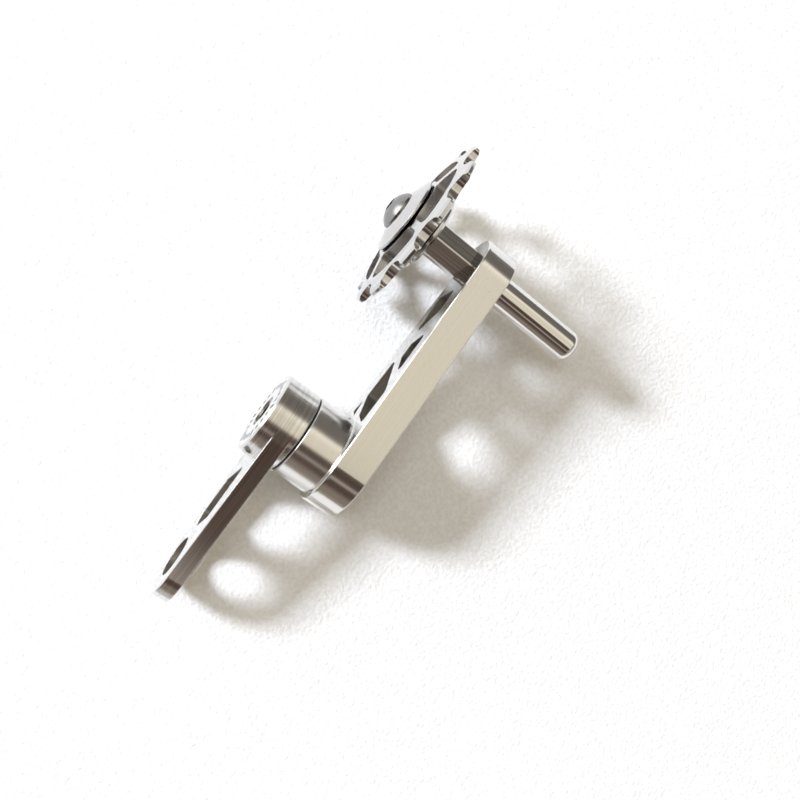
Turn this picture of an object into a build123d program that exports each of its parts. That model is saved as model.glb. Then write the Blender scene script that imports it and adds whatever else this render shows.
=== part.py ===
from build123d import *
from math import asin, cos, pi, sin, sqrt
import os

# Sprung single-pulley chain tensioner for a bicycle, in millimetres.
# Origin: axis of the hanger bore, on the face that lies against the frame's hanger.
# +X runs along both arms from the hanger bore to the pulley, +Y is the pulley side, +Z is up.

# Hanger arm
HANGER_BORE_R = 5.1
ARM_CENTRES_SHORT = 40.2
HANGER_END_R = 8.75
HANGER_END_OUT = 1.25
PLATE_T = 4.0
PLATE_EDGE_R = 0.4
HANGER_PIN_X = 3.4
HANGER_PIN_LENGTH = 6.2
HANGER_PIN_W = 2.4
HANGER_PIN_STAND = 0.7
HANGER_PIN_CHAMFER = 0.2
HANGER_PIN_SEAT = 2.6
HANGER_PIN_WALL = 0.5

# Pivot housing, shared by both arms
HOUSING_WALL = 2.9
HOUSING_CHAMFER = 0.45
UPPER_ABOVE_PLATE = 3.65
UPPER_BELOW_PLATE = 1.45
UPPER_CEILING = 2.7
SEAM = 0.4
SEAM_BEVEL = 0.25
SEAM_WASHER_INSET = 0.4
LOWER_H = 9.4
LOWER_FLOOR = 3.0

# Swing arm
ARM_CENTRES_LONG = 56.2
SWING_T = 8.6
PIVOT_LEDGE = 1.35
SWING_BOSS_R = 8.1
SWING_FAR_STEP = 2.3
SWING_BOSS_FILLET = 2.0
SWING_EDGE_R = 0.7
SWING_BACK_EDGE_R = 0.4
HOUSING_FILLET = 0.3

# Pivot axle, its bushes and its retainer
AXLE_R = 4.0
AXLE_RECESS = 0.4
AXLE_SOCKET_AF = 4.0
AXLE_SOCKET_DEPTH = 2.5
BUSH_WALL = 0.95
BUSH_FLANGE_LIP = 0.4
BUSH_FLANGE_T = 0.8
BUSH_LENGTH = 3.6
WASHER_T = 1.0
WASHER_R = 6.4
WASHER_SIDE_GAP = 0.6
SCREW_R = 2.5
SCREW_LENGTH = 8.0
SCREW_HEAD_R = 4.2
SCREW_HEAD_H = 0.9
SCREW_CHAMFER = 0.3
SCREW_HEAD_INSET = 0.1
SCREW_SOCKET_AF = 3.0
SCREW_SOCKET_DEPTH = 0.6

# Torsion spring and travel stop
WIRE_R = 0.65
SPRING_LEG_GAP = 0.3
SPRING_SIDE_GAP = 0.65
SPRING_TURNS = 4.5
SPRING_END_GAP = 0.15
SPRING_LEG_SEAT = 1.3
SPRING_START = 300.0
STOP_PIN_R = 0.8
STOP_PIN_SEAT = 4.0
STOP_PIN_REACH = 2.4
STOP_PIN_END_GAP = 0.4
STOP_PIN_PLAY = 0.08
STOP_ANGLE = 200.0
SWING_RANGE = 100.0

# Pulley spacer, guide post and pulley bolt
HEX_AF = 8.2
HEX_LENGTH = 11.8
HEX_CHAMFER = 0.3
HEX_EDGE_R = 0.9
POST_R = 4.2
POST_LENGTH = 25.3
POST_TIP_R = 2.4
STUD_BOLT_GAP = 1.5
BOLT_R = 2.5
BOLT_LENGTH = 14.0
BOLT_HEAD_R = 4.8
BOLT_HEAD_H = 2.75
BOLT_RIM = 0.5
BOLT_SOCKET_AF = 3.0
BOLT_SOCKET_DEPTH = 1.5

# Dust caps and ball bearing
CAP_R = 9.7
CAP_EDGE = 0.5
CAP_CONE = 1.55
CAP_TOP_R = 5.2
CAP_GAP = 0.5
CAP_SPIGOT_R = 3.5
REAR_CAP_T = 1.2
REAR_CAP_BEVEL = 0.6
BEARING_R = 8.0
BEARING_W = 5.0
BALL_R = 1.5
BALL_CIRCLE_R = 5.25
BALL_COUNT = 7
INNER_RING_R = 4.0
OUTER_RING_R = 6.5
CAGE_WALL = 0.9
CAGE_RAIL = 0.2
SHIELD_T = 0.25
SHIELD_INSET = 0.1
SHIELD_GAP = 0.3

# Pulley wheel
TEETH = 11
TIP_R = 22.2
TIP_FILLET = 0.7
TIP_BEVEL = 0.9
TIP_LAND = 0.7
RIM_BAND = 1.6
SEAT_R = 3.8
RIM_T = 2.2
RIM_STEP = 0.2
TIP_T = 1.7
HUB_R = 9.9
HUB_W = 5.1
WINDOWS = 5
WINDOW_OUTER_R = 17.0
WINDOW_INNER_R = 10.5
SPOKE_W = 2.1
WINDOW_ROUND = 0.29
WINDOW_PHASE = 99.5
TOOTH_PHASE = 99.0

# Clearances
RUN_FIT = 0.05
SEAT_FIT = 0.01
THREAD_FIT = 0.05
AXIAL_PLAY = 0.05
BALL_PLAY = 0.08
SAME_PLACE = 1e-4

# Radii, worked out from the stack
bush_flange_r = AXLE_R + BUSH_WALL + BUSH_FLANGE_LIP
spring_r = bush_flange_r + SPRING_LEG_GAP + WIRE_R
cavity_r = spring_r + WIRE_R + SPRING_SIDE_GAP
housing_r = cavity_r + HOUSING_WALL
wall_mid_r = (housing_r + cavity_r) / 2
swing_pivot_r = housing_r + PIVOT_LEDGE
retainer_r = WASHER_R + WASHER_SIDE_GAP
root_r = WINDOW_OUTER_R + RIM_BAND
rim_r = root_r + RIM_STEP

# Places along Y, worked out from the stack
plate_top = PLATE_T
housing_top = plate_top + UPPER_ABOVE_PLATE
upper_rim = -UPPER_BELOW_PLATE
lower_rim = upper_rim - SEAM
swing_face = lower_rim - LOWER_H
swing_back = swing_face - SWING_T
cavity_top = housing_top - UPPER_CEILING
cavity_floor = swing_face + LOWER_FLOOR
retainer_stack = BUSH_FLANGE_T + AXIAL_PLAY + WASHER_T + SCREW_HEAD_H
retainer_floor = swing_back + retainer_stack + SCREW_HEAD_INSET
washer_top = retainer_floor - BUSH_FLANGE_T - AXIAL_PLAY
axle_top = housing_top - AXLE_RECESS
hex_top = swing_face + HEX_LENGTH
cap_spigot = (HUB_W - BEARING_W) / 2 + CAP_GAP
bearing_back = hex_top + REAR_CAP_T + cap_spigot
bearing_front = bearing_back + BEARING_W
wheel_mid = (bearing_back + bearing_front) / 2
cap_back = bearing_front + cap_spigot
cap_top = cap_back + CAP_EDGE + CAP_CONE
stud_top = cap_top - BOLT_LENGTH - STUD_BOLT_GAP

# Places along X
pivot_x = ARM_CENTRES_SHORT
wheel_x = pivot_x + ARM_CENTRES_LONG

# Window corners as shares: along the clear length of the arm, and across its half width
SHORT_WINDOW = [(0.0, 0.32), (0.36, -0.56), (0.84, -0.54), (1.0, -0.14), (0.74, 0.42)]
LONG_WINDOWS = [
    [(0.01, 0.67), (0.25, 0.75), (0.45, -0.32), (0.16, -0.40), (0.03, 0.12)],
    [(0.0, -0.27), (0.12, -0.40), (0.02, -0.55)],
    [(0.37, 0.63), (0.69, 0.66), (0.57, 0.05), (0.48, 0.05)],
    [(0.63, -0.27), (0.92, -0.53), (1.0, 0.38), (0.85, 0.46)],
]
WINDOW_FILLETS = [1.3, 0.4, 1.2, 1.3]
SHORT_WINDOW_FILLET = 1.3
SHORT_WINDOW_RIB = 3.0
LONG_WINDOW_RIB = 1.5


def side_plane(y):
    """Drawing plane at height y on the pivot axis, with X to the right and Z up."""
    return Plane(origin=(0, y, 0), x_dir=(1, 0, 0), z_dir=(0, -1, 0))


def plate(sketch, low, high):
    """A sketch drawn in X and Z, made solid between two places along Y."""
    return extrude(side_plane(high) * sketch, amount=high - low)


def rod(x, radius, low, high, z=0.0):
    """A cylinder along Y."""
    return plate(Pos(x, z) * Circle(radius), low, high)


def tube(x, inner, outer, low, high):
    """A plain ring along Y."""
    return plate(Pos(x, 0) * (Circle(outer) - Circle(inner)), low, high)


def turned(x, outline):
    """An outline of (radius, y) points, turned about the axis at x."""
    points = [(x + r, y) for r, y in outline]
    return revolve(make_face(Polyline(*points, close=True)), Axis((x, 0, 0), (0, 1, 0)))


def hexagon(across_flats):
    """A hexagon with a corner towards +Z."""
    return RegularPolygon(across_flats / sqrt(3), 6, rotation=30)


def rounded(corners, radius):
    """A closed polygon with every corner rounded."""
    face = make_face(Polyline(*corners, close=True))
    return fillet(face.vertices(), radius)


def tangent_edge(x_a, r_a, x_b, r_b, across):
    """Both ends of the line that touches two circles, on the +Z or the -Z side."""
    lean = asin((r_a - r_b) / abs(x_b - x_a))
    side = 1 if x_b > x_a else -1
    return [(x + side * r * sin(lean), across * r * cos(lean)) for x, r in ((x_a, r_a), (x_b, r_b))]


def tapered_plan(x_a, r_a, x_b, r_b, far_r):
    """Plan of an arm: two end circles, a tangent edge at +Z and one at -Z drawn to a smaller circle."""
    near = tangent_edge(x_a, r_a, x_b, r_b, 1)
    far = tangent_edge(x_a, r_a, x_b, far_r, -1)
    web = make_face(Polyline(*near, *reversed(far), close=True))
    return web + Pos(x_a, 0) * Circle(r_a) + Pos(x_b, 0) * Circle(r_b)


def edges_at(solid, y):
    """Edges of a solid that lie in the plane at y."""
    return solid.edges().filter_by(lambda e: abs(e.bounding_box().min.Y - y) < SAME_PLACE
                                   and abs(e.bounding_box().max.Y - y) < SAME_PLACE)


def spring_leg_place(angle):
    """X and Z of a spring leg at an angle about the pivot."""
    return pivot_x + spring_r * cos(angle * pi / 180), spring_r * sin(angle * pi / 180)


def hanger_pin_plan(play):
    """Plan of the flat hanger pin beside the bore, with play all round."""
    height = HANGER_BORE_R + HANGER_PIN_WALL + HANGER_PIN_W / 2
    return Pos(HANGER_PIN_X, height) * SlotOverall(HANGER_PIN_LENGTH + 2 * play, HANGER_PIN_W + 2 * play)


def stop_pin_place():
    """X and Z of the stop pin, in the middle of the housing wall."""
    return pivot_x + wall_mid_r * cos(STOP_ANGLE * pi / 180), wall_mid_r * sin(STOP_ANGLE * pi / 180)


spring_end = SPRING_START + 360 * SPRING_TURNS
coil_low = cavity_floor + BUSH_FLANGE_T + WIRE_R + SPRING_END_GAP
coil_high = cavity_top - WIRE_R - SPRING_END_GAP


def mount_arm():
    """Hanger plate and the upper half of the pivot housing, one machined piece."""
    body = plate(tapered_plan(pivot_x, housing_r, -HANGER_END_OUT, HANGER_END_R, HANGER_END_R), 0, plate_top)
    body = fillet(edges_at(body, plate_top), PLATE_EDGE_R)
    housing = rod(pivot_x, housing_r, upper_rim, housing_top)
    housing = chamfer(edges_at(housing, housing_top), HOUSING_CHAMFER)
    housing = chamfer(edges_at(housing, upper_rim), SEAM_BEVEL)
    body += housing
    near_x = pivot_x - housing_r - LONG_WINDOW_RIB
    far_x = HANGER_BORE_R + SHORT_WINDOW_RIB
    half = (housing_r + HANGER_END_R) / 2
    corners = [(near_x + (far_x - near_x) * along, half * across) for along, across in SHORT_WINDOW]
    body -= plate(rounded(corners, SHORT_WINDOW_FILLET), 0, plate_top)
    body -= rod(0, HANGER_BORE_R, 0, plate_top)
    body -= plate(hanger_pin_plan(SEAT_FIT), 0, HANGER_PIN_SEAT)
    body -= rod(pivot_x, cavity_r, upper_rim, cavity_top)
    body -= rod(pivot_x, AXLE_R + SEAT_FIT, cavity_top, housing_top)
    stop_x, stop_z = stop_pin_place()
    body -= rod(stop_x, STOP_PIN_R + SEAT_FIT, upper_rim, upper_rim + STOP_PIN_SEAT, stop_z)
    leg_x, leg_z = spring_leg_place(spring_end)
    body -= rod(leg_x, WIRE_R + THREAD_FIT, cavity_top, cavity_top + SPRING_LEG_SEAT + THREAD_FIT, leg_z)
    return body


def hanger_pin():
    """Flat pin, pressed into the plate, that bears on the edge of the hanger."""
    pin = plate(hanger_pin_plan(0), -HANGER_PIN_STAND, HANGER_PIN_SEAT)
    return chamfer(edges_at(pin, -HANGER_PIN_STAND), HANGER_PIN_CHAMFER)


def seam_washer():
    """Thin thrust washer between the two housing halves."""
    ring = tube(pivot_x, cavity_r, housing_r - SEAM_WASHER_INSET, lower_rim + AXIAL_PLAY, upper_rim)
    stop_x, stop_z = stop_pin_place()
    return ring - rod(stop_x, STOP_PIN_R + THREAD_FIT, lower_rim, upper_rim, stop_z)


def stop_pin():
    """Pin that ends the swing in its arc slot."""
    stop_x, stop_z = stop_pin_place()
    return rod(stop_x, STOP_PIN_R, lower_rim - STOP_PIN_REACH, upper_rim + STOP_PIN_SEAT, stop_z)


def torsion_spring():
    """Coil of round wire with a straight leg into each housing half."""
    rise = coil_high - coil_low
    path = Helix(pitch=rise / SPRING_TURNS, height=rise, radius=spring_r)
    section = Plane(origin=path @ 0, z_dir=path % 0) * Circle(WIRE_R)
    coil = sweep(section, path=path, is_frenet=True)
    turn_to_axis = Rot(0, -SPRING_START, 0) * Rot(-90, 0, 0)
    coil = Pos(pivot_x, coil_low, 0) * turn_to_axis * coil
    low_x, low_z = spring_leg_place(SPRING_START)
    high_x, high_z = spring_leg_place(spring_end)
    leg_low = rod(low_x, WIRE_R, cavity_floor - SPRING_LEG_SEAT, coil_low, low_z)
    leg_high = rod(high_x, WIRE_R, coil_high, cavity_top + SPRING_LEG_SEAT, high_z)
    knee_low = Pos(low_x, coil_low, low_z) * Sphere(WIRE_R)
    knee_high = Pos(high_x, coil_high, high_z) * Sphere(WIRE_R)
    return coil + leg_low + leg_high + knee_low + knee_high


def pivot_axle():
    """Plain axle pressed into the upper half, tapped at its lower end."""
    axle = rod(pivot_x, AXLE_R, washer_top, axle_top)
    axle -= plate(Pos(pivot_x, 0) * hexagon(AXLE_SOCKET_AF), axle_top - AXLE_SOCKET_DEPTH, axle_top)
    return axle - rod(pivot_x, SCREW_R + THREAD_FIT, washer_top, washer_top + SCREW_LENGTH + THREAD_FIT)


def pivot_washer():
    """Washer that keeps the swing arm on the axle."""
    return tube(pivot_x, SCREW_R + THREAD_FIT, WASHER_R, washer_top - WASHER_T, washer_top)


def pivot_screw():
    """Low-headed screw in the axle's lower end."""
    head_top = washer_top - WASHER_T
    screw = rod(pivot_x, SCREW_HEAD_R, head_top - SCREW_HEAD_H, head_top)
    screw = chamfer(edges_at(screw, head_top - SCREW_HEAD_H), SCREW_CHAMFER)
    screw += rod(pivot_x, SCREW_R, head_top, washer_top + SCREW_LENGTH)
    socket = Pos(pivot_x, 0) * hexagon(SCREW_SOCKET_AF)
    return screw - plate(socket, head_top - SCREW_HEAD_H, head_top - SCREW_HEAD_H + SCREW_SOCKET_DEPTH)


def pivot_bush(seat, outward):
    """Flanged bush: its flange lies on the seat and its sleeve runs into the arm."""
    inner = AXLE_R + RUN_FIT
    flange_low, flange_high = sorted((seat, seat + outward * BUSH_FLANGE_T))
    sleeve_low, sleeve_high = sorted((seat, seat - outward * BUSH_LENGTH))
    flange = tube(pivot_x, inner, bush_flange_r, flange_low, flange_high)
    return flange + tube(pivot_x, inner, AXLE_R + BUSH_WALL, sleeve_low, sleeve_high)


def swing_plan():
    """Plan of the swing arm, waisted on its -Z side where it meets the round boss."""
    plan = tapered_plan(pivot_x, swing_pivot_r, wheel_x, SWING_BOSS_R, SWING_BOSS_R - SWING_FAR_STEP)
    boss = Vector(wheel_x, 0)
    corner = plan.vertices().filter_by(
        lambda v: v.Y < 0 and abs((Vector(v.X, v.Y) - boss).length - SWING_BOSS_R) < SAME_PLACE)
    return fillet(corner, SWING_BOSS_FILLET)


def swing_arm():
    """Long arm with its lightening windows and the lower half of the pivot housing."""
    body = plate(swing_plan(), swing_back, swing_face)
    body = fillet(edges_at(body, swing_face), SWING_EDGE_R)
    body = fillet(edges_at(body, swing_back), SWING_BACK_EDGE_R)
    housing = rod(pivot_x, housing_r, swing_face, lower_rim)
    body += chamfer(edges_at(housing, lower_rim), SEAM_BEVEL)
    root = body.edges().filter_by(GeomType.CIRCLE).filter_by(
        lambda e: abs(e.radius - housing_r) < SAME_PLACE and abs(e.arc_center.Y - swing_face) < SAME_PLACE)
    body = fillet(root, HOUSING_FILLET)
    start = pivot_x + swing_pivot_r - SWING_EDGE_R
    length = wheel_x - HEX_AF / sqrt(3) - LONG_WINDOW_RIB - start
    for corners, radius in zip(LONG_WINDOWS, WINDOW_FILLETS):
        outline = []
        for along, across in corners:
            x = start + length * along
            share = (x - pivot_x) / ARM_CENTRES_LONG
            half = swing_pivot_r + (SWING_BOSS_R - swing_pivot_r) * share
            outline.append((x, half * across))
        body -= plate(rounded(outline, radius), swing_back, swing_face)
    body -= rod(pivot_x, cavity_r, cavity_floor, lower_rim)
    body -= rod(pivot_x, AXLE_R + BUSH_WALL + SEAT_FIT, swing_back, cavity_floor)
    body -= rod(pivot_x, retainer_r, swing_back, retainer_floor)
    body -= rod(wheel_x, BOLT_R + THREAD_FIT, swing_back, swing_face)
    slot_arc = CenterArc((0, 0), wall_mid_r, STOP_ANGLE - SWING_RANGE, SWING_RANGE)
    slot = Pos(pivot_x, 0) * SlotArc(slot_arc, 2 * (STOP_PIN_R + STOP_PIN_PLAY))
    body -= plate(slot, lower_rim - STOP_PIN_REACH - STOP_PIN_END_GAP, lower_rim)
    leg_x, leg_z = spring_leg_place(SPRING_START)
    leg_end = cavity_floor - SPRING_LEG_SEAT - THREAD_FIT
    return body - rod(leg_x, WIRE_R + THREAD_FIT, leg_end, cavity_floor, leg_z)


def hex_spacer():
    """Hexagonal stand-off between the arm and the pulley, tapped right through."""
    corner = HEX_AF / sqrt(3)
    outline = hexagon(HEX_AF)
    outline = fillet(outline.vertices(), HEX_EDGE_R)
    bar = plate(Pos(wheel_x, 0) * outline, swing_face, hex_top)
    bar &= turned(wheel_x, [
        (0, swing_face), (corner - HEX_CHAMFER, swing_face), (corner, swing_face + HEX_CHAMFER),
        (corner, hex_top - HEX_CHAMFER), (corner - HEX_CHAMFER, hex_top), (0, hex_top)])
    return bar - rod(wheel_x, BOLT_R + THREAD_FIT, swing_face, hex_top)


def guide_post():
    """Round post with a rounded tip, on a stud that runs through the arm into the spacer."""
    post = rod(wheel_x, POST_R, swing_back - POST_LENGTH, swing_back)
    post = fillet(edges_at(post, swing_back - POST_LENGTH), POST_TIP_R)
    return post + rod(wheel_x, BOLT_R, swing_back, stud_top)


def wheel_bolt():
    """Button-headed bolt that holds the pulley on the spacer."""
    head_top = cap_top + BOLT_HEAD_H
    rim_top = cap_top + BOLT_RIM
    dome_h = head_top - rim_top
    dome_r = (BOLT_HEAD_R ** 2 + dome_h ** 2) / (2 * dome_h)
    lean = asin(BOLT_HEAD_R / dome_r) / 2
    middle = (wheel_x + dome_r * sin(lean), head_top - dome_r * (1 - cos(lean)))
    base = Polyline((wheel_x, head_top), (wheel_x, cap_top), (wheel_x + BOLT_HEAD_R, cap_top),
                    (wheel_x + BOLT_HEAD_R, rim_top))
    dome = ThreePointArc((wheel_x + BOLT_HEAD_R, rim_top), middle, (wheel_x, head_top))
    bolt = revolve(make_face(base + dome), Axis((wheel_x, 0, 0), (0, 1, 0)))
    bolt += rod(wheel_x, BOLT_R, cap_top - BOLT_LENGTH, cap_top)
    return bolt - plate(Pos(wheel_x, 0) * hexagon(BOLT_SOCKET_AF), head_top - BOLT_SOCKET_DEPTH, head_top)


def front_dust_cap():
    """Shallow conical cap over the bearing, under the bolt head."""
    bore = BOLT_R + THREAD_FIT
    return turned(wheel_x, [
        (bore, bearing_front), (CAP_SPIGOT_R, bearing_front), (CAP_SPIGOT_R, cap_back),
        (CAP_R, cap_back), (CAP_R, cap_back + CAP_EDGE), (CAP_TOP_R, cap_top), (bore, cap_top)])


def rear_dust_cap():
    """Flat cap between the spacer and the bearing."""
    bore = BOLT_R + THREAD_FIT
    flange_top = hex_top + REAR_CAP_T
    return turned(wheel_x, [
        (bore, hex_top), (CAP_R - REAR_CAP_BEVEL, hex_top), (CAP_R, hex_top + REAR_CAP_BEVEL),
        (CAP_R, flange_top), (CAP_SPIGOT_R, flange_top), (CAP_SPIGOT_R, bearing_back),
        (bore, bearing_back)])


def ball_track():
    """Ring-shaped groove that both bearing rings are ground to."""
    return Pos(wheel_x, wheel_mid, 0) * Rot(-90, 0, 0) * Torus(BALL_CIRCLE_R, BALL_R + BALL_PLAY)


def bearing_inner_ring():
    """Inner ring, clamped between the dust caps."""
    return tube(wheel_x, BOLT_R + THREAD_FIT, INNER_RING_R, bearing_back, bearing_front) - ball_track()


def bearing_outer_ring():
    """Outer ring, pressed into the pulley."""
    return tube(wheel_x, OUTER_RING_R, BEARING_R, bearing_back, bearing_front) - ball_track()


def ball_places():
    """Centre of each ball."""
    spots = []
    for i in range(BALL_COUNT):
        angle = 2 * pi * i / BALL_COUNT
        spots.append((wheel_x + BALL_CIRCLE_R * cos(angle), wheel_mid, BALL_CIRCLE_R * sin(angle)))
    return spots


def bearing_balls():
    """The balls, each a solid of its own."""
    return Compound(children=[Pos(*spot) * Sphere(BALL_R) for spot in ball_places()])


def bearing_cage():
    """Ring with a pocket for each ball."""
    half = BALL_R + BALL_PLAY + CAGE_RAIL
    cage = tube(wheel_x, BALL_CIRCLE_R - CAGE_WALL / 2, BALL_CIRCLE_R + CAGE_WALL / 2,
                wheel_mid - half, wheel_mid + half)
    pocket = Rot(0, 90, 0) * Cylinder(BALL_R + BALL_PLAY, 2 * CAGE_WALL)
    for i, spot in enumerate(ball_places()):
        cage -= Pos(*spot) * Rot(0, -360 * i / BALL_COUNT, 0) * pocket
    return cage


def bearing_shield(low):
    """Thin dust shield, snapped into the outer ring."""
    return tube(wheel_x, INNER_RING_R + SHIELD_GAP, OUTER_RING_R - SEAT_FIT, low, low + SHIELD_T)


def tooth_plan():
    """Plan of the toothed rim: a disc with a round roller seat cut between each two teeth."""
    seat_centre = root_r + SEAT_R
    reach = TIP_R + SEAT_R
    gap = Circle(SEAT_R) + Pos(reach / 2, 0) * Rectangle(reach, 2 * SEAT_R)
    rim = Circle(TIP_R)
    for i in range(TEETH):
        rim -= Rot(0, 0, TOOTH_PHASE + 360 * i / TEETH) * Pos(seat_centre, 0) * gap
    tips = rim.vertices().filter_by(lambda v: abs(Vector(v.X, v.Y).length - TIP_R) < SAME_PLACE)
    return fillet(tips, TIP_FILLET)


def wheel_section():
    """Half section of the pulley: thick hub, sloping web and thinner teeth with bevelled tips."""
    beyond = TIP_R + RIM_T
    steps = [(BEARING_R + SEAT_FIT, HUB_W / 2), (HUB_R, HUB_W / 2), (rim_r, RIM_T / 2),
             (TIP_R - TIP_BEVEL, TIP_T / 2), (TIP_R, TIP_LAND / 2), (beyond, TIP_LAND / 2)]
    back = [(radius, wheel_mid - half) for radius, half in steps]
    front = [(radius, wheel_mid + half) for radius, half in reversed(steps)]
    return back + front


def wheel_window(angle):
    """One rounded window between two spokes, centred at an angle."""
    span = pi / WINDOWS
    inner = span - asin(SPOKE_W / 2 / WINDOW_INNER_R)
    outer = span - asin(SPOKE_W / 2 / WINDOW_OUTER_R)

    def at(radius, turn):
        return radius * cos(angle + turn), radius * sin(angle + turn)

    outline = [
        ThreePointArc(at(WINDOW_INNER_R, -inner), at(WINDOW_INNER_R, 0), at(WINDOW_INNER_R, inner)),
        Line(at(WINDOW_INNER_R, inner), at(WINDOW_OUTER_R, outer)),
        ThreePointArc(at(WINDOW_OUTER_R, outer), at(WINDOW_OUTER_R, 0), at(WINDOW_OUTER_R, -outer)),
        Line(at(WINDOW_OUTER_R, -outer), at(WINDOW_INNER_R, -inner))]
    face = make_face(outline)
    return fillet(face.vertices(), WINDOW_ROUND * (WINDOW_OUTER_R - WINDOW_INNER_R))


def jockey_wheel():
    """Toothed pulley with five windows."""
    low, high = wheel_mid - HUB_W, wheel_mid + HUB_W
    wheel = turned(wheel_x, wheel_section()) & plate(Pos(wheel_x, 0) * tooth_plan(), low, high)
    for i in range(WINDOWS):
        angle = WINDOW_PHASE * pi / 180 + (i + 0.5) * 2 * pi / WINDOWS
        wheel -= plate(Pos(wheel_x, 0) * wheel_window(angle), low, high)
    return wheel


PIECES = {
    "mount_arm": mount_arm(),
    "hanger_pin": hanger_pin(),
    "pivot_axle": pivot_axle(),
    "pivot_washer": pivot_washer(),
    "pivot_screw": pivot_screw(),
    "seam_washer": seam_washer(),
    "stop_pin": stop_pin(),
    "torsion_spring": torsion_spring(),
    "swing_arm": swing_arm(),
    "upper_bush": pivot_bush(cavity_floor, 1),
    "lower_bush": pivot_bush(retainer_floor, -1),
    "hex_spacer": hex_spacer(),
    "guide_post": guide_post(),
    "wheel_bolt": wheel_bolt(),
    "front_dust_cap": front_dust_cap(),
    "rear_dust_cap": rear_dust_cap(),
    "bearing_inner_ring": bearing_inner_ring(),
    "jockey_wheel": jockey_wheel(),
    "bearing_outer_ring": bearing_outer_ring(),
    "bearing_balls": bearing_balls(),
    "bearing_cage": bearing_cage(),
    "front_shield": bearing_shield(bearing_front - SHIELD_INSET - SHIELD_T),
    "rear_shield": bearing_shield(bearing_back + SHIELD_INSET),
}

os.makedirs("parts", exist_ok=True)
for name, piece in PIECES.items():
    export_step(piece, os.path.join("parts", name + ".step"))
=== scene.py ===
"""Looks of a sprung bicycle chain tensioner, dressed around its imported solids.

Places are in metres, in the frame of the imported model: +X runs along both arms to the pulley, +Y is the
pulley's side and +Z is up. Shader patterns and the sizes of the sub-assemblies are in millimetres of that frame.
"""
import logging
import math
from dataclasses import dataclass
from enum import Enum
from typing import Any, Mapping, Sequence, Union

import bpy
from mathutils import Matrix, Vector


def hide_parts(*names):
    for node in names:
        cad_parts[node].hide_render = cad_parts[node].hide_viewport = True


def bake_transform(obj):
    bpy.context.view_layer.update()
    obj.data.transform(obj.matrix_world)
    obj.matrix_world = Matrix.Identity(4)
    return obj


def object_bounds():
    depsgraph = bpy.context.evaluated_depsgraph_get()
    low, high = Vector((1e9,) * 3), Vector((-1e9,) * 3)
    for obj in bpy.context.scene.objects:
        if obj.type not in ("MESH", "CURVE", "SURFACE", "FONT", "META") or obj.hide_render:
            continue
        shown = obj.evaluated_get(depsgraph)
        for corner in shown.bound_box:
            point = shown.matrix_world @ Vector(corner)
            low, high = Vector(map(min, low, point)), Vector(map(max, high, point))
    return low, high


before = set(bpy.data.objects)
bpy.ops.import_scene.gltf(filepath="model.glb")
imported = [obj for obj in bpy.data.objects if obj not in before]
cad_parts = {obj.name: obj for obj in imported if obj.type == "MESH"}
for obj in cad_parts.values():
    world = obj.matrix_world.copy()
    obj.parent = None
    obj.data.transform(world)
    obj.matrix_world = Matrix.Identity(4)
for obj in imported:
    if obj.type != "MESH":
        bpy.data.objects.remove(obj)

CAD_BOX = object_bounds()
MM = 0.001
IMAGE_SIDE = 800
SENSOR_WIDTH = 36.0
SOCKET_COLOUR_A = 6
SOCKET_COLOUR_B = 7
SOCKET_COLOUR_RESULT = 2
CLIP_START = 0.005
NOISE_MIDDLE = 0.5
LINE_DARKENING = 4.0
SMUDGE_DETAIL = 4.0
FACE_EDGE = 0.9
FACE_SOFT = 0.1
UPRIGHT_EDGE = 0.5
UPRIGHT_SOFT = 0.3

LOG = logging.getLogger("chain_tensioner")

Colour = tuple[float, float, float]
Triple = tuple[float, float, float]
Number = Union["Shade", float]


def opaque(colour: Colour) -> tuple[float, float, float, float]:
    """A colour with full alpha."""
    return (*colour, 1.0)


def dimmed(colour: Colour, share: float) -> Colour:
    """A colour at a share of its brightness."""
    return (colour[0] * share, colour[1] * share, colour[2] * share)


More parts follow.
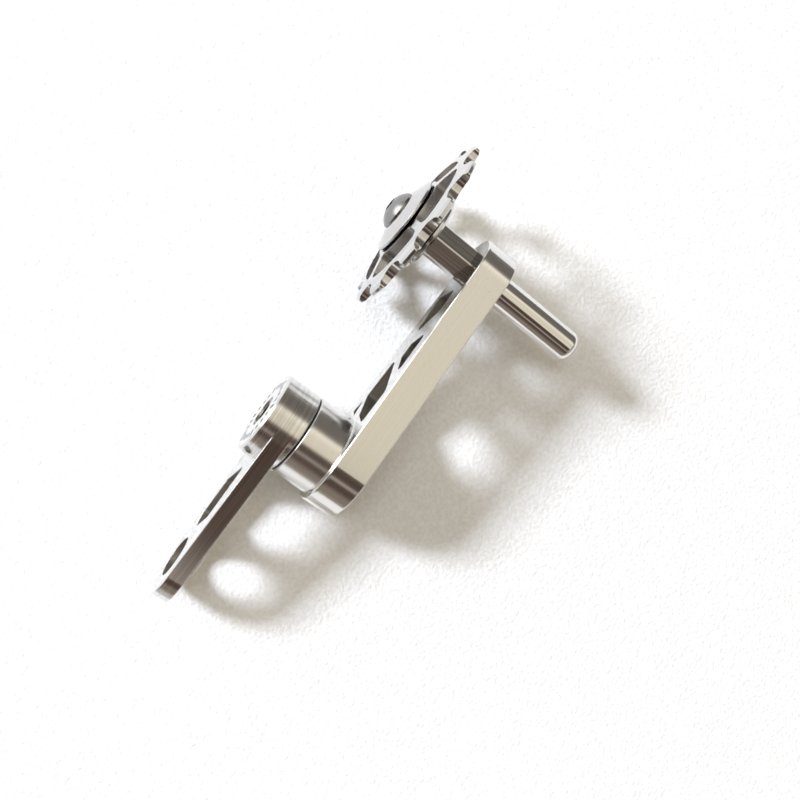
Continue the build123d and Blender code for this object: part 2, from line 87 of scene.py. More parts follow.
class Shade:
    """One value in a shader: operators on it add Math nodes to its sheet."""

    def __init__(self, sheet: "Sheet", socket: bpy.types.NodeSocket) -> None:
        """Wraps a socket.

        Args:
            sheet: The node sheet that the socket belongs to.
            socket: The output socket that holds the value.
        """
        self.sheet = sheet
        self.socket = socket

    def __add__(self, other: Number) -> "Shade":
        """Sum."""
        return self.sheet.maths("ADD", self, other)

    def __radd__(self, other: Number) -> "Shade":
        """Sum with a number on the left."""
        return self.sheet.maths("ADD", other, self)

    def __sub__(self, other: Number) -> "Shade":
        """Difference."""
        return self.sheet.maths("SUBTRACT", self, other)

    def __rsub__(self, other: Number) -> "Shade":
        """Difference with a number on the left."""
        return self.sheet.maths("SUBTRACT", other, self)

    def __mul__(self, other: Number) -> "Shade":
        """Product."""
        return self.sheet.maths("MULTIPLY", self, other)

    def __rmul__(self, other: Number) -> "Shade":
        """Product with a number on the left."""
        return self.sheet.maths("MULTIPLY", other, self)

    def __truediv__(self, other: Number) -> "Shade":
        """Quotient."""
        return self.sheet.maths("DIVIDE", self, other)

    def __rtruediv__(self, other: Number) -> "Shade":
        """Quotient with a number on the left."""
        return self.sheet.maths("DIVIDE", other, self)

    def __pow__(self, other: Number) -> "Shade":
        """Power."""
        return self.sheet.maths("POWER", self, other)

    def size(self) -> "Shade":
        """Absolute value."""
        return self.sheet.maths("ABSOLUTE", self)

    def centred(self) -> "Shade":
        """Noise about a half, brought to run about zero from -1 to 1."""
        return (self - NOISE_MIDDLE) * 2.0

    def larger(self, other: Number) -> "Shade":
        """The larger of two values."""
        return self.sheet.maths("MAXIMUM", self, other)

    def above(self, edge: float, soft: float) -> "Shade":
        """A mask that rises from 0 to 1 over a soft edge.

        Args:
            edge: Where the mask is half way.
            soft: Width of the rise.

        Returns:
            The mask.
        """
        settings = {"interpolation_type": "SMOOTHSTEP"}
        inputs = {"Value": self, "From Min": edge - soft / 2, "From Max": edge + soft / 2}
        return self.sheet.shade("ShaderNodeMapRange", settings, inputs, "Result")

    def below(self, edge: float, soft: float) -> "Shade":
        """A mask that falls from 1 to 0 over a soft edge."""
        return 1.0 - self.above(edge, soft)

    def within(self, low: float, high: float, soft: float) -> "Shade":
        """A mask that is 1 between two values."""
        return self.above(low, soft) * self.below(high, soft)


@dataclass
class Spot:
    """The three parts of a place or a direction in a shader."""

    x: Shade
    y: Shade
    z: Shade

    def reach(self, axis_x: float) -> Shade:
        """Distance from an axis along Y at a place along X."""
        across = self.x - axis_x
        return (across * across + self.z * self.z) ** 0.5


@dataclass
class Surface:
    """What a finish feeds to its shader."""

    colour: bpy.types.NodeSocket
    roughness: Shade
    normal: bpy.types.NodeSocket


class Sheet:
    """A node tree under construction."""

    def __init__(self, tree: bpy.types.NodeTree) -> None:
        """Empties a tree and starts afresh on it."""
        self.tree = tree
        tree.nodes.clear()

    def node(self, kind: str, settings: Mapping[str, Any] | None = None,
             inputs: Mapping[Union[str, int], Any] | None = None) -> bpy.types.Node:
        """Adds one node.

        Args:
            kind: The node's type.
            settings: Its properties, with a colour ramp's stops under "stops".
            inputs: Values, shades or sockets for its inputs.

        Returns:
            The new node.
        """
        node = self.tree.nodes.new(kind)
        for name, value in (settings or {}).items():
            if name == "stops":
                self.set_stops(node.color_ramp, value)
            else:
                setattr(node, name, value)
        for name, value in (inputs or {}).items():
            if isinstance(value, Shade):
                self.tree.links.new(value.socket, node.inputs[name])
            elif isinstance(value, bpy.types.NodeSocket):
                self.tree.links.new(value, node.inputs[name])
            else:
                node.inputs[name].default_value = value
        return node

    @staticmethod
    def set_stops(ramp: bpy.types.ColorRamp, stops: Sequence[tuple[float, Colour]]) -> None:
        """Gives a colour ramp its stops.

        Args:
            ramp: The ramp, which has two stops of its own.
            stops: At least two places with their colours, in rising order.
        """
        while len(ramp.elements) < len(stops):
            ramp.elements.new(1.0)
        for element, (place, colour) in zip(ramp.elements, stops):
            element.position = place
            element.color = opaque(colour)

    def shade(self, kind: str, settings: Mapping[str, Any] | None, inputs: Mapping[Union[str, int], Any] | None,
              output: Union[str, int] = 0) -> Shade:
        """Adds a node and wraps one of its outputs."""
        return Shade(self, self.node(kind, settings, inputs).outputs[output])

    def maths(self, operation: str, *values: Number) -> Shade:
        """Adds a Math node on one or two values."""
        return self.shade("ShaderNodeMath", {"operation": operation}, dict(enumerate(values)))

    def angle(self, rise: Number, run: Number) -> Shade:
        """The angle of a rise over a run, in radians."""
        return self.maths("ARCTAN2", rise, run)

    def parts(self, vector: bpy.types.NodeSocket) -> Spot:
        """Splits a vector into its three parts."""
        node = self.node("ShaderNodeSeparateXYZ", None, {"Vector": vector})
        return Spot(*(Shade(self, socket) for socket in node.outputs))

    def coordinate(self, output: str) -> bpy.types.NodeSocket:
        """One output of a Texture Coordinate node."""
        return self.node("ShaderNodeTexCoord").outputs[output]

    def place(self) -> Spot:
        """The place on the object, in millimetres."""
        scaled = self.node("ShaderNodeVectorMath", {"operation": "SCALE"},
                           {"Vector": self.coordinate("Object"), "Scale": 1 / MM})
        return self.parts(scaled.outputs["Vector"])

    def facing(self) -> Spot:
        """The direction that the surface faces, in the object's own frame."""
        return self.parts(self.coordinate("Normal"))

    def vector(self, x: Number, y: Number, z: Number) -> bpy.types.NodeSocket:
        """Joins three values to a vector."""
        return self.node("ShaderNodeCombineXYZ", None, {"X": x, "Y": y, "Z": z}).outputs["Vector"]

    def grain(self, spot: Spot, pitch: Triple, detail: float = 2.0) -> Shade:
        """Noise stretched along the three axes.

        Args:
            spot: The place, in millimetres.
            pitch: Length of the grain along X, Y and Z, in millimetres.
            detail: Number of finer layers.

        Returns:
            A value about 0.5.
        """
        stretched = self.vector(spot.x / pitch[0], spot.y / pitch[1], spot.z / pitch[2])
        return self.shade("ShaderNodeTexNoise", None, {"Vector": stretched, "Scale": 1.0, "Detail": detail}, "Fac")

    def blend(self, share: Number, first: Any, second: Any) -> bpy.types.NodeSocket:
        """Mixes two colours.

        Args:
            share: Share of the second colour.
            first: A colour or its socket.
            second: A colour or its socket.

        Returns:
            The mixed colour's socket.
        """
        node = self.node("ShaderNodeMix", {"data_type": "RGBA"},
                         {"Factor": share, SOCKET_COLOUR_A: first, SOCKET_COLOUR_B: second})
        return node.outputs[SOCKET_COLOUR_RESULT]

    def relief(self, height: Number, depth: float, edge: float = 0.0) -> bpy.types.NodeSocket:
        """A bumped normal.

        Args:
            height: The relief, from 0 to 1.
            depth: What a height of 1 stands for, in metres.
            edge: Radius that sharp edges seem broken to, in metres.

        Returns:
            The normal's socket.
        """
        inputs = {"Height": height, "Distance": depth, "Strength": 1.0}
        if edge > 0:
            inputs["Normal"] = self.node("ShaderNodeBevel", None, {"Radius": edge}).outputs["Normal"]
        return self.node("ShaderNodeBump", None, inputs).outputs["Normal"]


class Lay(Enum):
    """Which way a tool left its lines, as grain lengths in millimetres along X, Y and Z."""

    AROUND = (24.0, 0.11, 24.0)
    MILLED = (30.0, 0.32, 30.0)
    ALONG = (0.3, 16.0, 0.3)
    EVEN = (0.12, 0.12, 0.12)


@dataclass(frozen=True)
class Finish:
    """A metal or polymer surface: its colour, its gloss and the lines that its tool left."""

    name: str
    colour: Colour
    roughness: float
    lay: Lay = Lay.EVEN
    line_depth: float = 3e-6
    line_contrast: float = 0.03
    gloss_spread: float = 0.03
    metallic: float = 1.0
    smudge_pitch: float = 6.0
    edge: float = 0.0
    line_soft: float = 0.3

    def worn(self) -> Colour:
        """The colour at the bottom of the tool's lines."""
        return dimmed(self.colour, 1 - LINE_DARKENING * self.line_contrast)

    def material(self) -> bpy.types.Material:
        """Builds the material.

        Returns:
            A new material with its nodes in place.
        """
        made = bpy.data.materials.new(self.name)
        made.use_nodes = True
        sheet = Sheet(made.node_tree)
        surface = self.surface(sheet)
        shader = sheet.node("ShaderNodeBsdfPrincipled", None, {
            "Base Color": surface.colour, "Roughness": surface.roughness, "Metallic": self.metallic,
            "Normal": surface.normal})
        sheet.node("ShaderNodeOutputMaterial", None, {"Surface": shader.outputs["BSDF"]})
        return made

    def surface(self, sheet: Sheet) -> Surface:
        """Colour, roughness and normal of the surface.

        Args:
            sheet: The node sheet to draw on.

        Returns:
            What the shader is fed.
        """
        spot = sheet.place()
        lines = sheet.grain(spot, self.lay.value)
        smudge = sheet.grain(spot, (self.smudge_pitch,) * 3, SMUDGE_DETAIL)
        crests = lines.above(NOISE_MIDDLE, self.line_soft)
        colour = sheet.blend(crests, opaque(self.worn()), opaque(self.colour))
        uneven = self.gloss_spread * smudge.centred() + self.line_contrast * (lines - NOISE_MIDDLE)
        roughness = self.roughness + uneven
        return Surface(colour, roughness, sheet.relief(lines, self.line_depth, self.edge))


@dataclass(frozen=True)
class TurnedFinish(Finish):
    """A turned piece: a painted shadow where it runs close to its neighbour, and window walls that are rougher and
    a little darker with painted shade.
    """

    axis_x: float = 0.0
    gap_reach: float = 0.0
    gap_low: float = 0.0
    gap_high: float = 0.0
    gap_shade_colour: Colour = (0.012, 0.011, 0.01)
    gap_roughness: float = 0.5
    gap_reach_soft: float = 0.1
    gap_depth_soft: float = 0.06
    wall_inner: float = 0.0
    wall_outer: float = 0.0
    wall_shade_dim: float = 0.95
    wall_roughness: float = 0.15
    wall_soft: float = 0.2

    def surface(self, sheet: Sheet) -> Surface:
        """The turned surface, with its window walls' painted shade and its painted gap shadow laid over it.

        Args:
            sheet: The node sheet to draw on.

        Returns:
            What the shader is fed.
        """
        under = super().surface(sheet)
        spot = sheet.place()
        reach = spot.reach(self.axis_x)
        colour, roughness = under.colour, under.roughness
        # Window walls: rougher, and a little darker in colour as painted shade inside the windows.
        if self.wall_outer > 0:
            upright = sheet.facing().y.size().below(UPRIGHT_EDGE, UPRIGHT_SOFT)
            wall = upright * reach.within(self.wall_inner, self.wall_outer, self.wall_soft)
            colour = sheet.blend(wall, colour, opaque(dimmed(self.colour, self.wall_shade_dim)))
            roughness = roughness + self.wall_roughness * wall
        # Painted shadow: the surfaces inside the narrow gap by the neighbouring part are coloured very dark.
        deep = spot.y.within(self.gap_low, self.gap_high, self.gap_depth_soft)
        painted_gap_shadow = reach.below(self.gap_reach, self.gap_reach_soft) * deep
        colour = sheet.blend(painted_gap_shadow, colour, opaque(self.gap_shade_colour))
        return Surface(colour, roughness + self.gap_roughness * painted_gap_shadow, under.normal)


@dataclass(frozen=True)
class Pocket:
    """The stretch of an arm that holds its windows, in millimetres, with the arm's half width at both ends."""

    start: float
    end: float
    start_half: float
    end_half: float
    rim: float = 1.2
    soft: float = 0.4

    def mask(self, spot: Spot) -> Shade:
        """A mask that is 1 well inside the arm's edges.

        Args:
            spot: The place on the arm, in millimetres.

        Returns:
            The mask.
        """
        lean = (self.end_half - self.start_half) / (self.end - self.start)
        half = self.start_half + (spot.x - self.start) * lean
        inside = (half - spot.z.size()).above(self.rim, self.soft)
        return inside * spot.x.within(self.start, self.end, self.soft)


@dataclass(frozen=True)
class Scale:
    """A ring of etched graduation ticks on the pivot's end face, in millimetres."""

    axis_x: float
    inner: float
    outer: float
    long_outer: float
    level: float
    count: int = 24
    long_every: int = 4
    width: float = 1.0
    tick_soft: float = 0.3
    long_soft: float = 0.02
    ring_soft: float = 0.1
    level_soft: float = 0.05
    rounding_guard: float = 0.01

    def mask(self, sheet: Sheet, spot: Spot) -> Shade:
        """A mask that is 1 on the ticks.

        Args:
            sheet: The node sheet to draw on.
            spot: The place on the arm, in millimetres.

        Returns:
            The mask.
        """
        turn = sheet.angle(spot.z, spot.x - self.axis_x) * (self.count / math.tau)
        reach = spot.reach(self.axis_x)
        spread = self.width * self.count / math.tau / 2
        near = (sheet.maths("FRACT", turn) - 0.5).size() * reach
        tick = near.below(spread, self.tick_soft * spread)
        which = sheet.maths("FRACT", sheet.maths("FLOOR", turn) / float(self.long_every) + self.rounding_guard)
        long = which.below(1 / self.long_every / 2, self.long_soft)
        outer = self.outer + (self.long_outer - self.outer) * long
        ring = reach.above(self.inner, self.ring_soft) * (outer - reach).above(0.0, self.ring_soft)
        return tick * ring * spot.y.above(self.level, self.level_soft)


@dataclass(frozen=True)
class ArmFinish(Finish):
    """A milled arm: drawn sides, polished faces, rougher window walls darkened with painted shade, and painted
    shade on the faces towards one end.
    """

    line_soft: float = 0.4
    face_roughness: float = 0.1
    face_relief: float = 0.3
    axis_x: float = 0.0
    barrel_reach: float = 0.0
    barrel_roughness: float = 0.19
    barrel_soft: float = 0.2
    pocket: Pocket | None = None
    pocket_shade_colour: Colour = (0.50, 0.485, 0.46)
    pocket_roughness: float = 0.25
    speck_pitch: Triple = (0.5, 0.25, 0.5)
    speck_detail: float = 1.0
    speck_level: float = 0.68
    speck_soft: float = 0.08
    speck_dim: float = 0.9
    painted_shade_from: float = 0.0
    painted_shade_to: float = 0.0
    painted_shade_dim: float = 0.45
    scale: Scale | None = None
    scale_colour: Colour = (0.03, 0.03, 0.03)
    scale_roughness: float = 0.3

    def surface(self, sheet: Sheet) -> Surface:
        """Colour, roughness and normal of the arm.

        Args:
            sheet: The node sheet to draw on.

        Returns:
            What the shader is fed.
        """
        spot = sheet.place()
        flat = sheet.facing().y.size().above(FACE_EDGE, FACE_SOFT)
        side = 1.0 - flat
        drawn = sheet.grain(spot, self.lay.value)
        fine = sheet.grain(spot, Lay.EVEN.value)
        smudge = sheet.grain(spot, (self.smudge_pitch,) * 3, SMUDGE_DETAIL)
        speckle = sheet.grain(spot, self.speck_pitch, self.speck_detail)
        specks = speckle.above(self.speck_level, self.speck_soft) * side
        crests = drawn.above(NOISE_MIDDLE, self.line_soft)
        colour = sheet.blend(crests, opaque(self.worn()), opaque(self.colour))
        colour = sheet.blend(specks, colour, opaque(dimmed(self.colour, self.speck_dim)))
        # Painted shade: the flat faces get darker towards the pulley end, standing in for the shaded floor that
        # they mirror there.
        if self.painted_shade_to > self.painted_shade_from:
            middle, spread = (self.painted_shade_from + self.painted_shade_to) / 2, self.painted_shade_to - self.painted_shade_from
            painted_face_shade = spot.x.above(middle, spread) * sheet.facing().y.above(FACE_EDGE, FACE_SOFT)
            colour = sheet.blend(painted_face_shade, colour, opaque(dimmed(self.colour, self.painted_shade_dim)))
        barrel = spot.reach(self.axis_x).below(self.barrel_reach, self.barrel_soft)
        drawn_gloss = self.roughness + (self.barrel_roughness - self.roughness) * barrel
        gloss = self.face_roughness * flat + drawn_gloss * side
        roughness = gloss + self.gloss_spread * smudge.centred()
        # Window walls: rougher from milling, and darker in colour as painted shade inside the windows.
        if self.pocket:
            wall = self.pocket.mask(spot) * side * (1.0 - barrel)
            colour = sheet.blend(wall, colour, opaque(self.pocket_shade_colour))
            roughness = roughness + self.pocket_roughness * wall
        if self.scale:
            marks = self.scale.mask(sheet, spot)
            colour = sheet.blend(marks, colour, opaque(self.scale_colour))
            roughness = roughness + self.scale_roughness * marks
        lines = drawn * side + fine * flat * self.face_relief
        return Surface(colour, roughness, sheet.relief(lines, self.line_depth, self.edge))


@dataclass(frozen=True)
class Band:
    """One colour of the room that the metal mirrors, at its angle up from +X over +Z to -X."""

    angle: float
    colour: Colour


@dataclass(frozen=True)
class Lamp:
    """One soft square lamp, hung towards a direction from the object's middle."""

    name: str
    direction: Triple
    distance: float
    side: float
    power: float
    colour: Colour

    def hang(self, centre: Vector) -> None:
        """Adds the lamp, aimed at a centre and hidden from mirrors.

        Args:
            centre: The place that the lamp shines on.
        """
        light = bpy.data.lights.new(self.name, "AREA")
        light.shape = "SQUARE"
        light.size = self.side
        light.energy = self.power
        light.color = self.colour
        holder = bpy.data.objects.new(self.name, light)
        toward = Vector(self.direction).normalized()
        holder.location = centre + toward * self.distance
        holder.rotation_euler = toward.to_track_quat("Z", "Y").to_euler()
        holder.visible_glossy = False
        bpy.context.scene.collection.objects.link(holder)


DAYLIGHT: Colour = (0.90, 0.97, 1.12)


@dataclass
class Studio:
    """Room, lamps, table and camera."""

    bands: tuple[Band, ...] = (
        Band(0.0, (0.22, 0.205, 0.19)),
        Band(8.0, (0.175, 0.16, 0.14)),
        Band(34.0, (0.175, 0.155, 0.135)),
        Band(42.0, (0.29, 0.26, 0.22)),
        Band(49.0, (1.10, 1.015, 0.86)),
        Band(56.0, (1.0, 0.925, 0.765)),
        Band(66.0, (0.84, 0.77, 0.625)),
        Band(90.0, (0.84, 0.765, 0.615)),
        Band(95.0, (0.09, 0.062, 0.05)),
        Band(104.0, (0.09, 0.06, 0.047)),
        Band(112.0, (0.11, 0.08, 0.066)),
        Band(116.5, (0.41, 0.35, 0.305)),
        Band(119.5, (0.41, 0.35, 0.305)),
        Band(124.0, (0.10, 0.07, 0.055)),
        Band(136.0, (0.10, 0.07, 0.055)),
        Band(148.0, (0.26, 0.21, 0.175)),
        Band(160.0, (0.26, 0.215, 0.17)),
        Band(170.0, (0.40, 0.34, 0.27)),
        Band(180.0, (0.45, 0.38, 0.30)),
    )
    key_aim: Triple = (0.0, 0.98, 0.199)
    key_glow: Colour = (4.2, 4.15, 4.05)
    key_edge: float = 0.950
    key_soft: float = 0.03
    front_glow: Colour = (0.9, 0.89, 0.87)
    front_dim: Colour = (0.34, 0.33, 0.31)
    glow_top: float = 0.17
    glow_soft: float = 0.12
    back_colour: Colour = (0.46, 0.43, 0.38)
    side_start: float = 0.74
    side_soft: float = 0.22
    backdrop: Colour = (0.97, 0.97, 0.965)
    lamps: tuple[Lamp, ...] = (
        Lamp("low_key", direction=(-0.05, 0.93, 0.42), distance=4.0, side=0.72, power=224.0, colour=DAYLIGHT),
        Lamp("high_fill", direction=(0.235, 0.407, 0.883), distance=4.0, side=1.20, power=20.0, colour=DAYLIGHT),
    )
    table_half: float = 3.0
    table_touches: tuple[Triple, Triple, Triple] = (
        (-2.29, 0.0, -8.69), (38.80, -19.51, -11.76), (97.84, 4.44, -22.13))
    table_colour: Colour = (0.87, 0.865, 0.85)
    fibre_colour: Colour = (0.79, 0.78, 0.75)
    fibre_pitch: float = 1.0
    fibre_depth: float = 2.4e-4
    table_lift: Colour = (0.02, 0.014, 0.004)
    far_lift: Colour = (0.42, 0.44, 0.48)
    far_edge: float = 900.0
    far_soft: float = 1300.0
    camera_place: Triple = (0.06502, 0.03247, 0.18544)
    camera_view: Triple = (-0.01969, -0.25921, -0.96264)
    camera_up: Triple = (0.80127, 0.57009, -0.16901)
    focal_pixels: float = 793.74

    def build(self) -> None:
        """Sets up everything around the object."""
        bpy.context.scene.view_settings.view_transform = "Standard"
        self.room()
        centre = (Vector(CAD_BOX[0]) + Vector(CAD_BOX[1])) / 2
        for lamp in self.lamps:
            lamp.hang(centre)
        self.table()
        self.camera()

    def room(self) -> None:
        """Lights the world with soft bands that polished metal mirrors, before a pale backdrop."""
        world = bpy.data.worlds.new("room")
        bpy.context.scene.world = world
        world.use_nodes = True
        sheet = Sheet(world.node_tree)
        outward = sheet.coordinate("Generated")
        aim = sheet.parts(outward)
        turn = sheet.angle(aim.z, aim.x) / math.pi
        stops = [(band.angle / 180, band.colour) for band in self.bands]
        walls = sheet.node("ShaderNodeValToRGB", {"stops": stops}, {"Fac": turn}).outputs["Color"]
        high = aim.z.above(self.glow_top, self.glow_soft)
        front = sheet.blend(high, opaque(self.front_glow), opaque(self.front_dim))
        colour = sheet.blend(aim.y.above(self.side_start, self.side_soft), walls, front)
        aims = {0: outward, 1: self.key_aim}
        along = sheet.shade("ShaderNodeVectorMath", {"operation": "DOT_PRODUCT"}, aims, "Value")
        colour = sheet.blend(along.above(self.key_edge, self.key_soft), colour, opaque(self.key_glow))
        back = (aim.y * -1.0).above(self.side_start, self.side_soft)
        colour = sheet.blend(back, colour, opaque(self.back_colour))
        seen = Shade(sheet, sheet.node("ShaderNodeLightPath").outputs["Is Camera Ray"])
        colour = sheet.blend(seen, colour, opaque(self.backdrop))
        light = sheet.node("ShaderNodeBackground", None, {"Color": colour, "Strength": 1.0})
        sheet.node("ShaderNodeOutputWorld", None, {"Surface": light.outputs["Background"]})

    def table(self) -> None:
        """Lays a pale table under the hanger end, the long arm and the pulley, on which the object leans."""
        half = self.table_half
        first, second, third = (Vector(touch) * MM for touch in self.table_touches)
        slope = (second - first).cross(third - first)
        mesh = bpy.data.meshes.new("table")
        corners = []
        for x, y in ((-half, -half), (half, -half), (half, half), (-half, half)):
            drop = (slope.x * (x - first.x) + slope.y * (y - first.y)) / slope.z
            corners.append((x, y, first.z - drop))
        mesh.from_pydata(corners, [], [(0, 1, 2, 3)])
        table = bpy.data.objects.new("table", mesh)
        bpy.context.scene.collection.objects.link(table)
        mesh.materials.append(self.paper())

    def paper(self) -> bpy.types.Material:
        """The table's matt, faintly fibrous paper.

        Returns:
            A new material that looks white where nothing shades it.
        """
        made = bpy.data.materials.new("paper")
        made.use_nodes = True
        sheet = Sheet(made.node_tree)
        spot = sheet.place()
        fibres = sheet.grain(spot, (self.fibre_pitch,) * 3, 3.0)
        colour = sheet.blend(fibres.above(0.5, 0.4), opaque(self.fibre_colour), opaque(self.table_colour))
        normal = sheet.relief(fibres, self.fibre_depth)
        matt = sheet.node("ShaderNodeBsdfDiffuse", None, {"Color": colour, "Normal": normal})
        rays = sheet.node("ShaderNodeLightPath").outputs
        camera = Shade(sheet, rays["Is Camera Ray"])
        seen = camera.larger(Shade(sheet, rays["Is Glossy Ray"]))
        seen = seen.larger(Shade(sheet, rays["Is Transmission Ray"]))
        away = (spot.x * spot.x + spot.y * spot.y) ** 0.5
        far = away.above(self.far_edge, self.far_soft) * camera
        glow = sheet.blend(far, opaque(self.table_lift), opaque(self.far_lift))
        lift = sheet.node("ShaderNodeEmission", None, {"Color": glow, "Strength": seen})
        both = sheet.node("ShaderNodeAddShader", None, {0: matt.outputs["BSDF"], 1: lift.outputs["Emission"]})
        sheet.node("ShaderNodeOutputMaterial", None, {"Surface": both.outputs["Shader"]})
        return made

    def camera(self) -> None:
        """Puts the camera where the photograph was taken from."""
        lens = bpy.data.cameras.new("camera")
        lens.sensor_width = SENSOR_WIDTH
        lens.lens = self.focal_pixels / IMAGE_SIDE * SENSOR_WIDTH
        lens.clip_start = CLIP_START
        holder = bpy.data.objects.new("camera", lens)
        back = -Vector(self.camera_view).normalized()
        right = Vector(self.camera_up).cross(back).normalized()
        up = back.cross(right)
        turned = Matrix((right, up, back)).transposed().to_4x4()
        holder.matrix_world = Matrix.Translation(Vector(self.camera_place)) @ turned
        bpy.context.scene.collection.objects.link(holder)
        bpy.context.scene.camera = holder


HANGER_ARM_METAL: Colour = (0.82, 0.815, 0.80)
SWING_ARM_METAL: Colour = (0.78, 0.775, 0.76)
WHEEL_METAL: Colour = (0.66, 0.655, 0.65)
GROUND_STEEL = Finish("ground_steel", (0.72, 0.71, 0.69), 0.14, Lay.ALONG, line_depth=1e-5,
                      line_contrast=0.055)
PIN_STEEL = Finish("pin_steel", (0.80, 0.79, 0.77), 0.5, Lay.ALONG, metallic=0.4)
POST_STEEL = Finish("post_steel", (0.82, 0.81, 0.79), 0.09, Lay.ALONG, line_depth=1e-6)
BOLT_STEEL = Finish("bolt_steel", (0.30, 0.30, 0.30), 0.24, line_depth=1e-6, edge=1e-4)
SPRING_STEEL = Finish("spring_steel", (0.35, 0.34, 0.33), 0.3)
BEARING_STEEL = Finish("bearing_steel", (0.72, 0.72, 0.73), 0.12, Lay.AROUND)
BUSH_BRONZE = Finish("bush_bronze", (0.62, 0.46, 0.25), 0.35)
DARK_POLYMER = Finish("dark_polymer", (0.02, 0.02, 0.02), 0.5, metallic=0.0)


@dataclass
class SubAssembly:
    """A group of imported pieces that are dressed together."""

    name: str

    def finishes(self) -> dict[str, Finish]:
        """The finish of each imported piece."""
        return {}

    def dress(self) -> None:
        """Gives each piece its finish and reports it."""
        for node, finish in self.finishes().items():
            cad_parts[node].material_slots[0].material = finish.material()
            LOG.info("%s: %s is dressed in %s", self.name, node, finish.name)


@dataclass
class HangerArm(SubAssembly):
    """The short arm with the upper half of the pivot housing, and its hanger pin."""

    name: str = "hanger arm"
    pivot_x: float = 40.2
    end_half: float = 8.75
    housing_r: float = 10.5
    window_start: float = -7.0
    scale_inner: float = 6.7
    scale_outer: float = 8.2
    scale_long_outer: float = 9.2
    scale_level: float = 7.5
    barrel_slack: float = 0.3

    def finishes(self) -> dict[str, Finish]:
        """Milled aluminium with etched ticks round the axle, and a ground pin."""
        pocket = Pocket(self.window_start, self.pivot_x - self.housing_r, self.end_half, self.housing_r)
        scale = Scale(self.pivot_x, self.scale_inner, self.scale_outer, self.scale_long_outer, self.scale_level)
        arm = ArmFinish("mount_aluminium", HANGER_ARM_METAL, roughness=0.09, lay=Lay.MILLED, line_depth=2e-6,
                        line_contrast=0.06, edge=3.5e-4, face_roughness=0.09, axis_x=self.pivot_x,
                        barrel_reach=self.housing_r + self.barrel_slack, pocket=pocket, scale=scale)
        return {"mount_arm": arm, "hanger_pin": PIN_STEEL}


@dataclass
class Pivot(SubAssembly):
    """Axle, bushes, spring and retainer inside the housing."""

    name: str = "pivot"
    pivot_x: float = 40.2
    coil_top: float = 4.8
    coil_base: float = -7.3

    def finishes(self) -> dict[str, Finish]:
        """Ground steel on bronze, a dark washer in the seam and an oiled spring."""
        return {
            "pivot_axle": GROUND_STEEL, "pivot_washer": GROUND_STEEL, "pivot_screw": BOLT_STEEL,
            "seam_washer": DARK_POLYMER, "stop_pin": GROUND_STEEL, "torsion_spring": SPRING_STEEL,
            "upper_bush": BUSH_BRONZE, "lower_bush": BUSH_BRONZE}

    def dress(self) -> None:
        """Dresses the pieces, and puts a copy of the spring in place of the imported one."""
        super().dress()
        self.wind()

    def wind(self) -> None:
        """Puts a copy of the spring in its place and hides the imported one."""
        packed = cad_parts["torsion_spring"]
        spring = bpy.data.objects.new("winding_spring", packed.data.copy())
        bpy.context.scene.collection.objects.link(spring)
        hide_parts("torsion_spring")
        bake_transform(spring)
        LOG.info("%s: %s twists between the arms", self.name, spring.name)


@dataclass
class SwingArm(SubAssembly):
    """The long arm with its windows and the lower half of the pivot housing."""

    name: str = "swing arm"
    pivot_x: float = 40.2
    wheel_x: float = 96.4
    pivot_half: float = 11.85
    housing_r: float = 10.5
    barrel_slack: float = 0.3
    boss_half: float = 8.1
    boss_clear: float = 4.0
    window_lead: float = 1.0
    painted_shade_length: float = 32.0

    def finishes(self) -> dict[str, Finish]:
        """Milled aluminium, with painted shade on its window walls and on its flat faces towards the pulley."""
        pocket = Pocket(self.pivot_x + self.pivot_half - self.window_lead, self.wheel_x - self.boss_clear,
                        self.pivot_half, self.boss_half)
        arm = ArmFinish("swing_aluminium", SWING_ARM_METAL, roughness=0.12, lay=Lay.AROUND, line_depth=7e-7,
                        line_contrast=0.01, edge=3.5e-4, face_roughness=0.07, axis_x=self.pivot_x,
                        barrel_reach=self.housing_r + self.barrel_slack, pocket=pocket,
                        painted_shade_from=self.wheel_x - self.painted_shade_length, painted_shade_to=self.wheel_x)
        return {"swing_arm": arm}


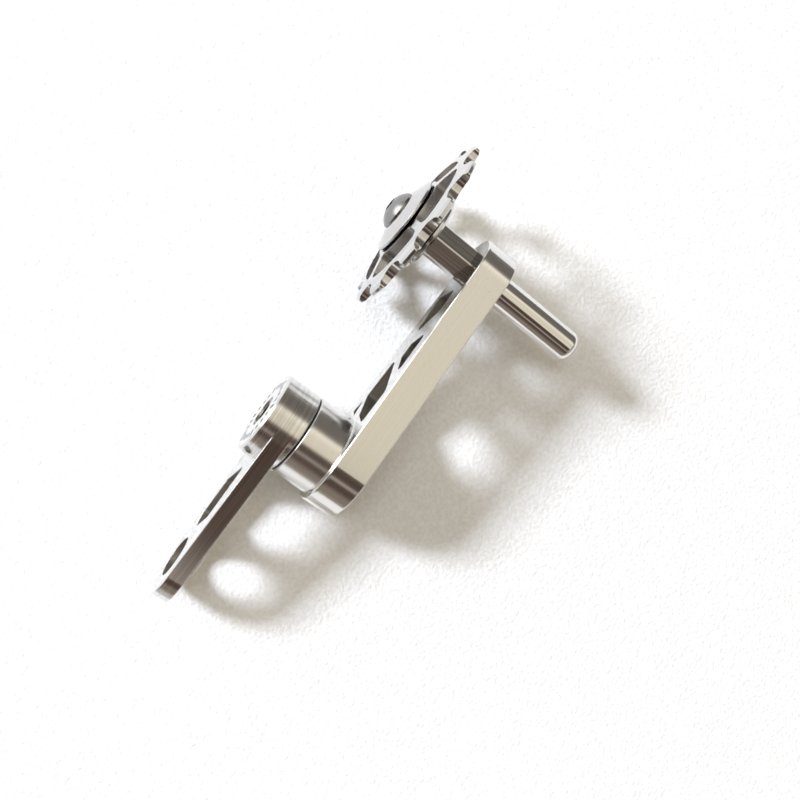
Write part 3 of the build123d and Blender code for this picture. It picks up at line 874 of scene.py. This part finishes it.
@dataclass
class PulleyStand(SubAssembly):
    """Spacer, guide post, dust caps and bolt that carry the pulley."""

    name: str = "pulley stand"
    wheel_x: float = 96.4
    cap_back: float = 7.85
    cap_slack: float = 0.05
    cap_reach: float = 11.0

    def finishes(self) -> dict[str, Finish]:
        """Ground spacer, polished post, dark bolt and turned caps."""
        # Painted shadow on the front cap's surfaces that sit in the gap over the pulley's hub.
        front_cap = TurnedFinish("front_cap_aluminium", WHEEL_METAL, 0.13, Lay.AROUND, edge=4.5e-4,
                                 axis_x=self.wheel_x, gap_reach=self.cap_reach,
                                 gap_high=self.cap_back + self.cap_slack)
        rear_cap = Finish("rear_cap_aluminium", WHEEL_METAL, 0.13, Lay.AROUND, edge=1.2e-4)
        return {"hex_spacer": GROUND_STEEL, "guide_post": POST_STEEL, "wheel_bolt": BOLT_STEEL,
                "front_dust_cap": front_cap, "rear_dust_cap": rear_cap}


@dataclass
class Pulley(SubAssembly):
    """The toothed wheel and its ball bearing."""

    name: str = "pulley"
    wheel_x: float = 96.4
    hub_face: float = 7.35
    gap_reach: float = 9.3
    gap_half: float = 0.3
    window_inner: float = 10.4
    window_outer: float = 17.1

    def finishes(self) -> dict[str, Finish]:
        """Turned aluminium wheel, bright bearing steel and dark shields."""
        # Painted shadow on the hub's front face in the gap under the front cap, and painted shade on the window
        # walls.
        wheel = TurnedFinish("wheel_aluminium", WHEEL_METAL, 0.13, Lay.AROUND, edge=1.2e-4, axis_x=self.wheel_x,
                             gap_reach=self.gap_reach, gap_low=self.hub_face - self.gap_half,
                             gap_high=self.hub_face + self.gap_half, wall_inner=self.window_inner,
                             wall_outer=self.window_outer)
        return {"jockey_wheel": wheel, "bearing_inner_ring": BEARING_STEEL, "bearing_outer_ring": BEARING_STEEL,
                "bearing_balls": BEARING_STEEL, "bearing_cage": DARK_POLYMER, "front_shield": DARK_POLYMER,
                "rear_shield": DARK_POLYMER}


def main() -> None:
    """Builds the studio and dresses the object."""
    logging.basicConfig(level=logging.INFO, format="%(name)s: %(message)s")
    Studio().build()
    for sub_assembly in (HangerArm(), Pivot(), SwingArm(), PulleyStand(), Pulley()):
        sub_assembly.dress()


if __name__ == "__main__":
    main()
